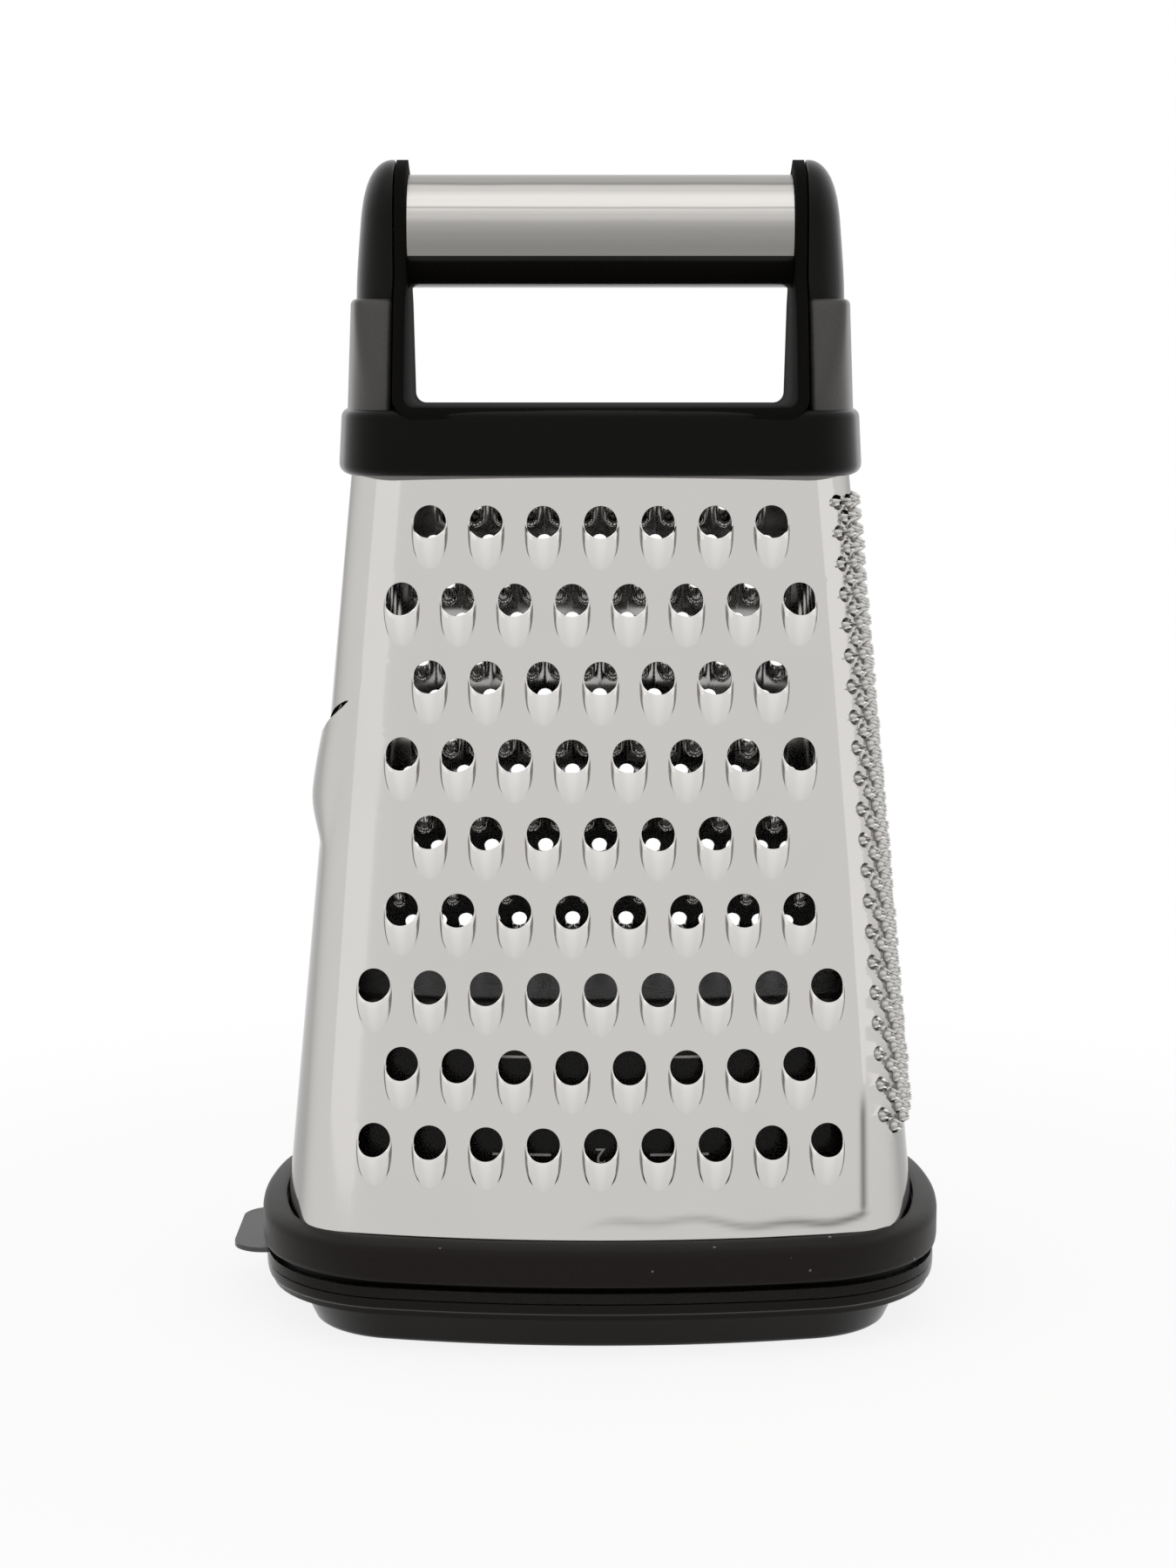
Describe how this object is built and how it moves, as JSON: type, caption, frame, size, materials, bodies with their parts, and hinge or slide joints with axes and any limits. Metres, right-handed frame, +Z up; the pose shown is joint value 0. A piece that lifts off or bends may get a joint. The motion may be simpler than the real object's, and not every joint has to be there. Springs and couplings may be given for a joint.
{
  "type": "box grater",
  "caption": "Four-sided box grater with a top handle, a soft base ring and a storage container with a lid, on which it stands.",
  "frame": {"origin": "on the floor, under the middle of the grater", "axes": "+Z up, -Y towards the coarse side, -X towards the slicer side and the container's pull tab"},
  "size_m": [0.1644, 0.112, 0.262],
  "materials": {
    "steel": "polished",
    "black_plastic": "satin",
    "gloss_black": "gloss",
    "soft_black": "matte",
    "smoky_plastic": "smoky clear"
  },
  "bodies": {
    "lid": {"container_lid": "black_plastic"},
    "container": {"storage_container": "smoky_plastic"},
    "grater": {"base_frame": "black_plastic", "base_ring": "soft_black", "steel_body": "steel", "top_collar": "black_plastic", "handle_frame": "black_plastic", "end_cap_left": "black_plastic", "end_cap_right": "black_plastic", "grip_sleeve": "steel", "grip_underside": "gloss_black", "inner_retainer": "black_plastic", "retainer_screws": "steel"}
  },
  "joints": [
    {"name": "container_lift", "type": "slide", "parent": "lid", "child": "container", "axis": [0, 0, 1], "range_m": [0, 0.03]},
    {"name": "grater_lift", "type": "slide", "parent": "container", "child": "grater", "axis": [0, 0, 1], "range_m": [0, 0.1]}
  ]
}
